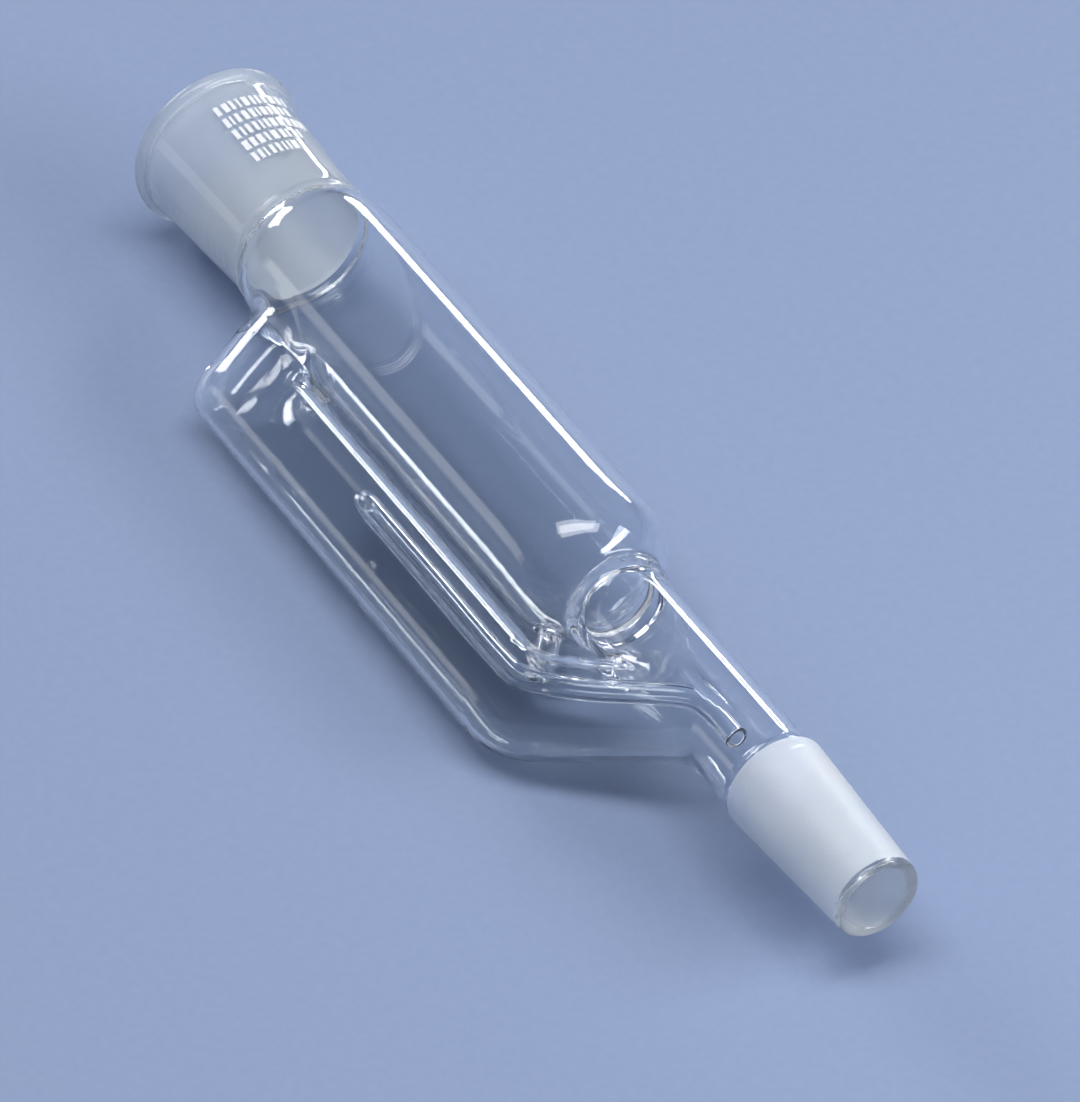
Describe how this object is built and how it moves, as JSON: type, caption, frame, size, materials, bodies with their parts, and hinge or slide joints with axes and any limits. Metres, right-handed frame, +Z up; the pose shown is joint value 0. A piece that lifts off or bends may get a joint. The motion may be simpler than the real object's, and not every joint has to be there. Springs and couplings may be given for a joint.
{
  "type": "soxhlet extractor",
  "caption": "Glass extraction tube with a ground socket above, a round-bottomed chamber, a side vapour tube that encloses its siphon, and a ground cone below.",
  "frame": {"origin": "middle of the footprint, on the surface that the extractor lies on", "axes": "+X along the main axis from the upper socket to the lower cone; +Y horizontal, away from the vapour side tube; +Z up"},
  "size_m": [0.283, 0.0624, 0.0415],
  "materials": {
    "clear_glass": "fire-polished clear borosilicate",
    "ground_glass": "finely ground, white and translucent",
    "enamel": "fired white enamel"
  },
  "bodies": {
    "root": {"socket_joint": "ground_glass", "joint_marking": "enamel", "extraction_chamber": "clear_glass", "lower_stem": "clear_glass", "cone_joint": "ground_glass", "vapour_tube": "clear_glass", "vapour_top_elbow": "clear_glass", "vapour_lower_arm": "clear_glass", "siphon_inlet_bend": "clear_glass", "siphon_riser": "clear_glass", "siphon_top_bend": "clear_glass", "siphon_down_leg": "clear_glass", "siphon_return_arm": "clear_glass", "drip_tube": "clear_glass"}
  },
  "joints": []
}
